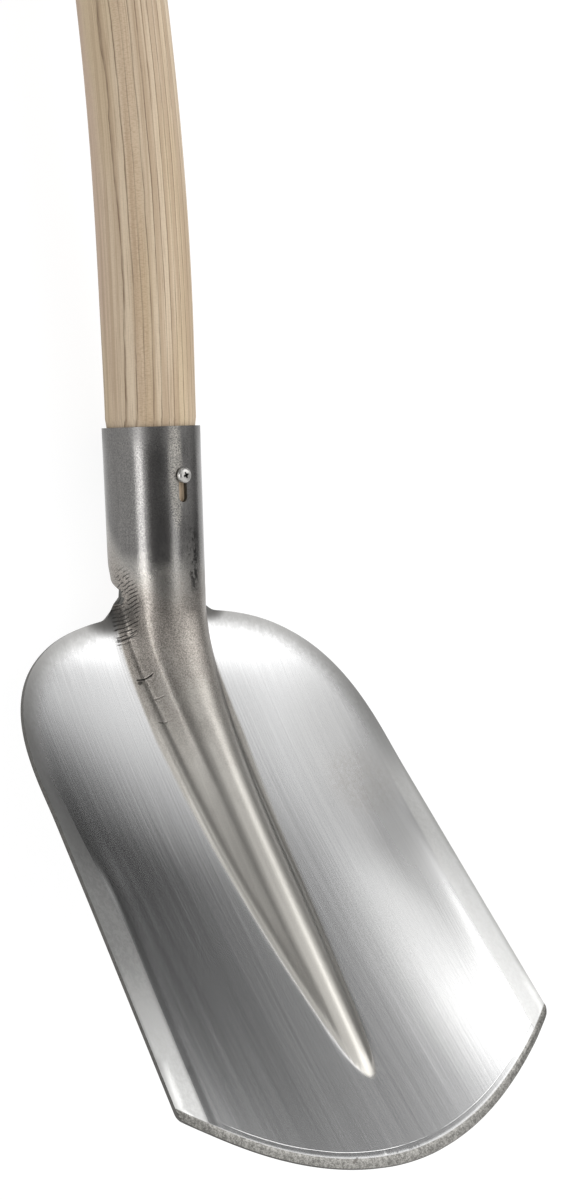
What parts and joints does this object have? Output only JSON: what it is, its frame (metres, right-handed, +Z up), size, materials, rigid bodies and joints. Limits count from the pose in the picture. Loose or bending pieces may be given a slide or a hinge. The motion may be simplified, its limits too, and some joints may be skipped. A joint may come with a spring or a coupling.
{
  "type": "sand shovel",
  "caption": "Long handled sand shovel: a dished round shouldered steel blade with a central rib and a rolled socket, on a bent ash shaft held by a screw.",
  "frame": {"origin": "on the floor, below the middle of the tool's bounding box, as it lies on its back on the socket's heel and the shaft's butt", "axes": "+Z up out of the blade's hollow side, +Y along the tool from the cutting edge to the butt, X across the blade, whose plane of symmetry is X = 0"},
  "size_m": [0.2062, 1.3326, 0.1514],
  "materials": {
    "forged_steel": "bare forged steel, brushed along the blade",
    "ash_wood": "smooth sanded ash, satin",
    "screw_steel": "dull plated steel"
  },
  "bodies": {
    "root": {"shovel_head": "forged_steel", "ash_shaft": "ash_wood", "fixing_screw": "screw_steel"}
  },
  "joints": []
}
